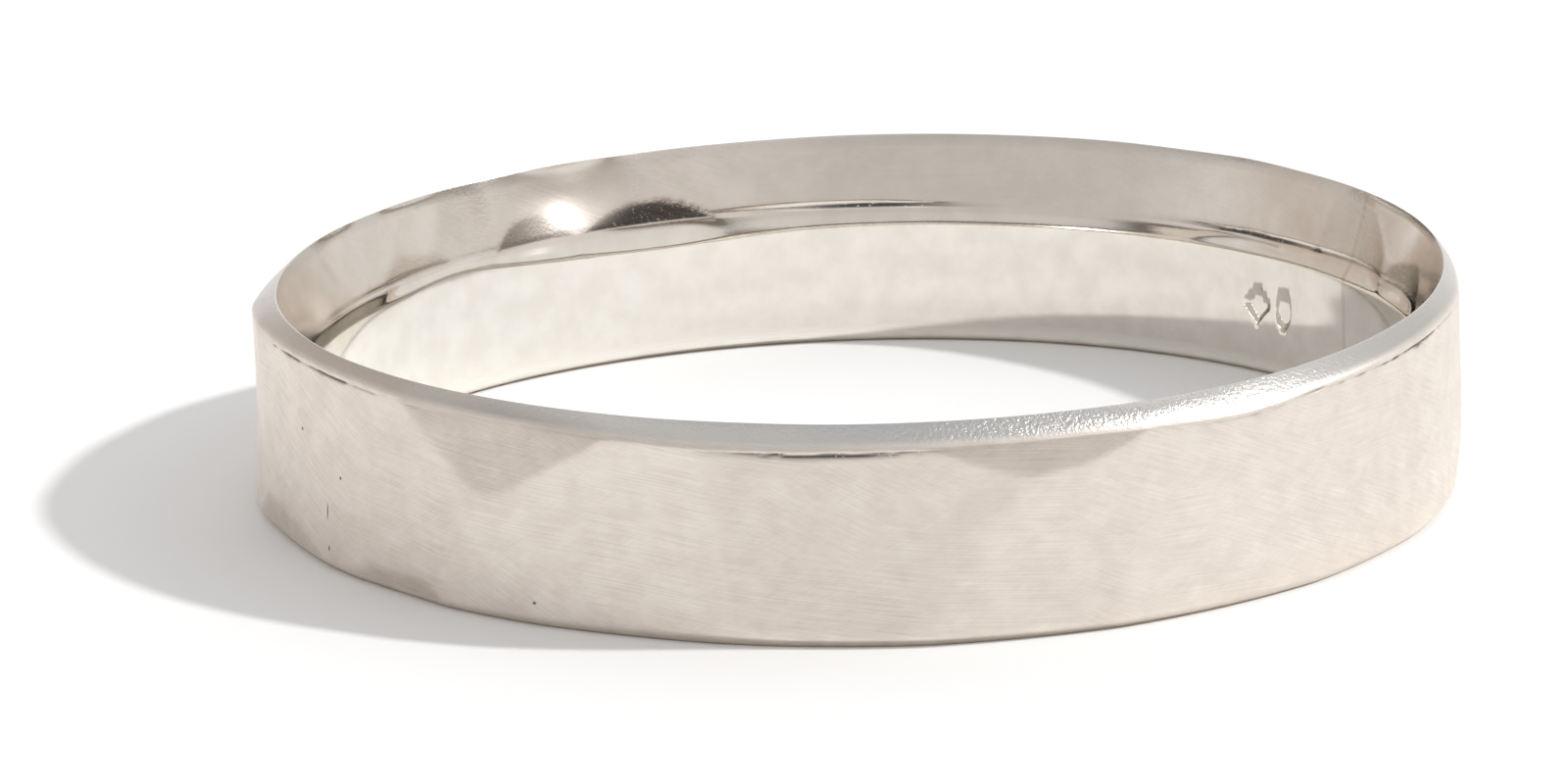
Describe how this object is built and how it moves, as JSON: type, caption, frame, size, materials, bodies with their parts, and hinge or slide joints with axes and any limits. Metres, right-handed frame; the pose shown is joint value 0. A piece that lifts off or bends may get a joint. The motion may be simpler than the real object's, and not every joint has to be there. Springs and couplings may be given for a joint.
{
  "type": "wedding band",
  "caption": "Hand-hammered plain wedding band in pale gold alloy, with a satin outer face, a knife-edged upper rim, a long inner bevel and a polished bore.",
  "frame": {"origin": "on the bore's axis, in the plane of the lower rim that the ring rests on", "axes": "+Z along the bore's axis towards the knife-edged upper rim; -Y towards the broad hammered face; the butt joint is 28 degrees from +X towards +Y"},
  "size_m": [0.0217, 0.0218, 0.0039],
  "materials": {
    "pale_gold": "satin-brushed outer face, polished bore",
    "hard_solder": "filed flush, slightly duller"
  },
  "bodies": {
    "root": {"band": "pale_gold", "solder_seam": "hard_solder"}
  },
  "joints": []
}
